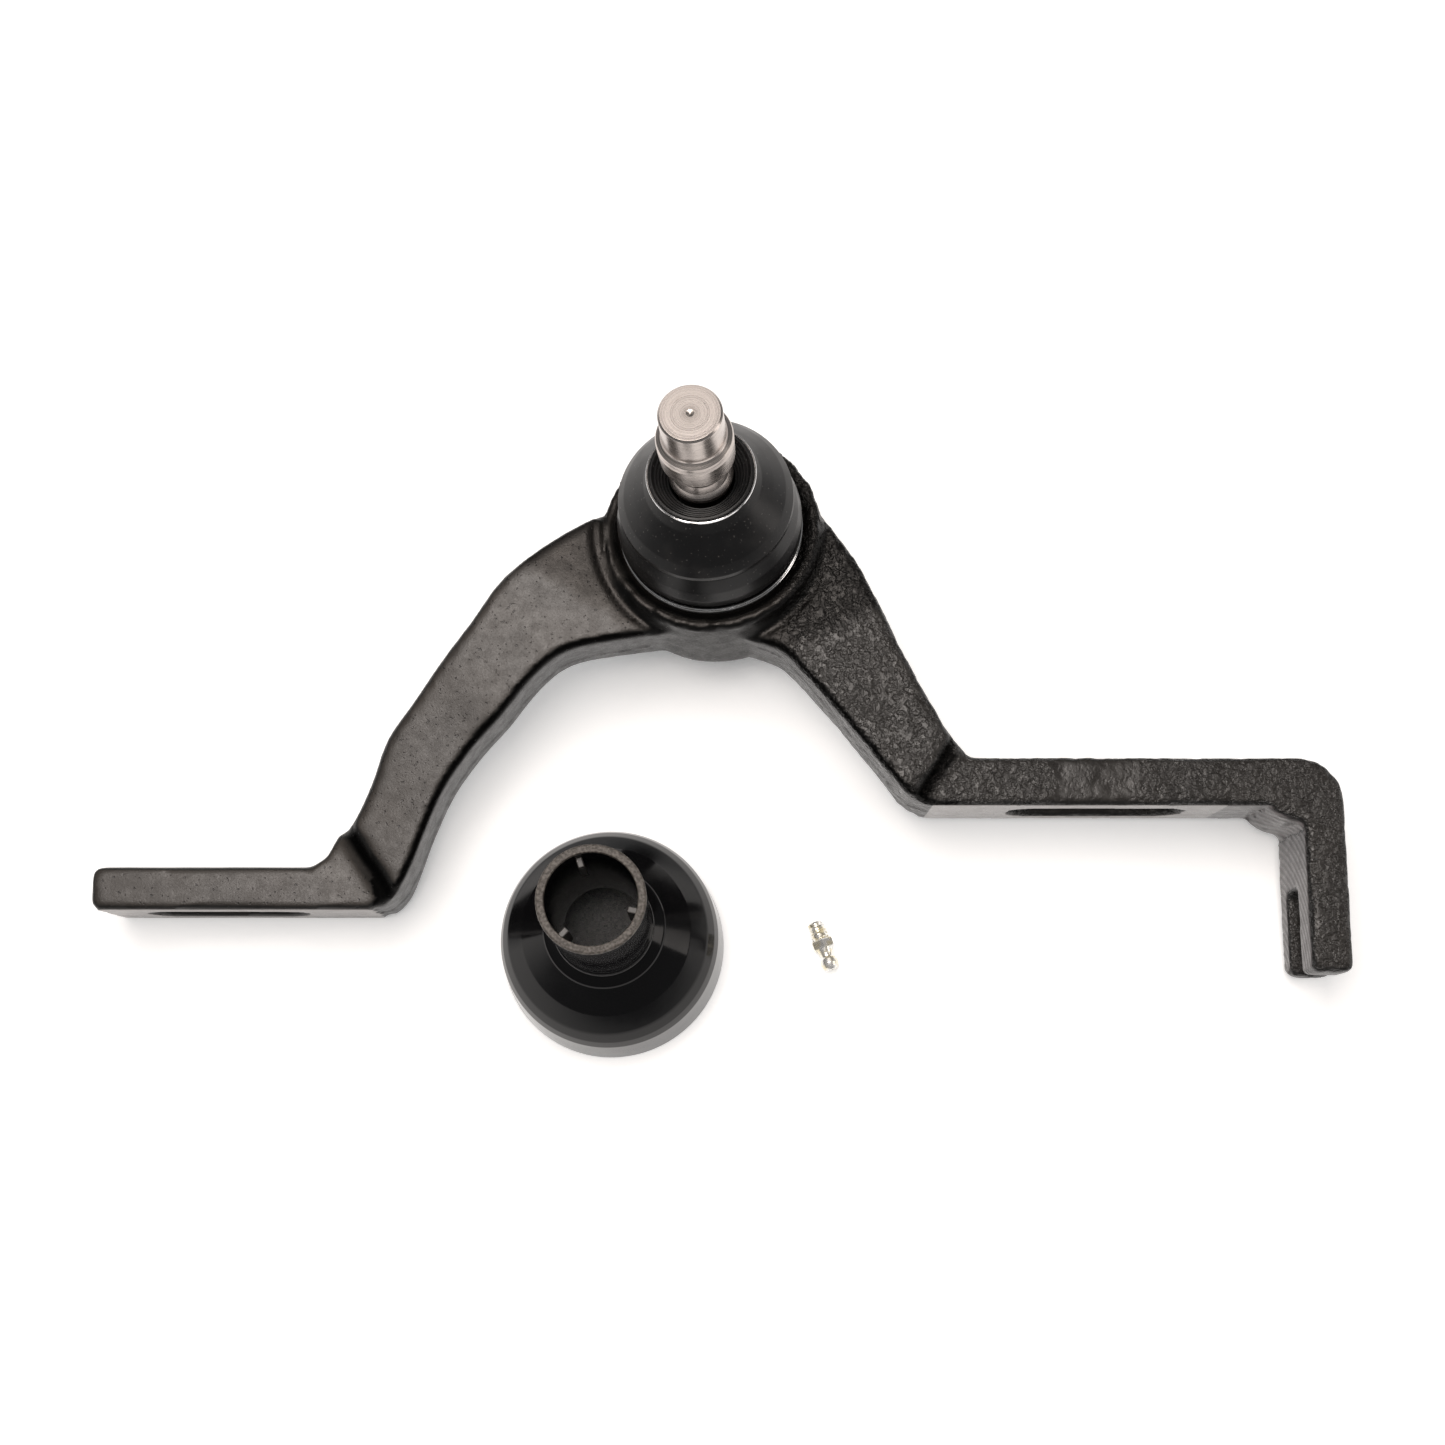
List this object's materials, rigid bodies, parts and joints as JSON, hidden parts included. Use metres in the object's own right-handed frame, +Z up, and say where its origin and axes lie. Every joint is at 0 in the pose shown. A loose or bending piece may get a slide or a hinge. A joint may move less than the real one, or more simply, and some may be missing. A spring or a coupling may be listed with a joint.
{
  "type": "control arm",
  "caption": "Forged suspension control arm with slotted mounting bars and a booted pinch-bolt ball joint, beside its loose dust shield and grease fitting.",
  "frame": {"origin": "middle of the bounding box at floor level", "axes": "+X from the left bar to the leg, +Y towards the ball joint, +Z up; the arm lies on its two bars and on the rolled edge of the ball joint's housing, with the stud up"},
  "size_m": [0.385, 0.1908, 0.1291],
  "materials": {
    "black_paint": "black paint over forged steel",
    "turned_steel": "turned",
    "bearing_polymer": "moulded",
    "spring_steel": "oiled",
    "cover_steel": "black",
    "boot_rubber": "satin",
    "bright_wire": "bright",
    "shield_plastic": "gloss",
    "fitting_zinc": "bright zinc"
  },
  "bodies": {
    "arm": {"arm_forging": "black_paint", "lower_bearing": "bearing_polymer", "preload_washer": "spring_steel", "cover_plate": "cover_steel", "dust_boot": "boot_rubber", "boot_clamp_ring": "bright_wire"},
    "bearing_shell": {"upper_bearing": "bearing_polymer"},
    "boot_neck": {"boot_neck_ring": "bright_wire"},
    "stud": {"ball_stud": "turned_steel"},
    "shield": {"dust_shield": "shield_plastic"},
    "grease_fitting": {"fitting_body": "fitting_zinc", "check_spring": "spring_steel"},
    "fitting_check": {"check_ball": "bright_wire"}
  },
  "joints": [
    {"name": "stud_swing_fore_aft", "type": "hinge", "parent": "arm", "child": "bearing_shell", "pos_m": [0.00038, 0.06063, 0.03852], "axis": [0.9988, 0.0015, 0.048], "range_deg": [-20, 20], "deforming": ["dust_boot"]},
    {"name": "stud_swing_lateral", "type": "hinge", "parent": "bearing_shell", "child": "boot_neck", "pos_m": [0.00038, 0.06063, 0.03852], "axis": [0.0018, 0.9976, -0.0687], "range_deg": [-20, 20], "deforming": ["dust_boot"]},
    {"name": "stud_spin", "type": "hinge", "parent": "boot_neck", "child": "stud", "pos_m": [0.00038, 0.06063, 0.03852], "axis": [-0.048, 0.0687, 0.9965], "continuous": true},
    {"name": "shield_lift", "type": "slide", "parent": "arm", "child": "shield", "axis": [0, 0, 1], "range_m": [0, 0.15]},
    {"name": "fitting_lift", "type": "slide", "parent": "arm", "child": "grease_fitting", "axis": [0, 0, 1], "range_m": [0, 0.12]},
    {"name": "check_ball_travel", "type": "slide", "parent": "grease_fitting", "child": "fitting_check", "axis": [-0.3338, 0.9426, 0], "range_m": [0, 0.0006]}
  ]
}
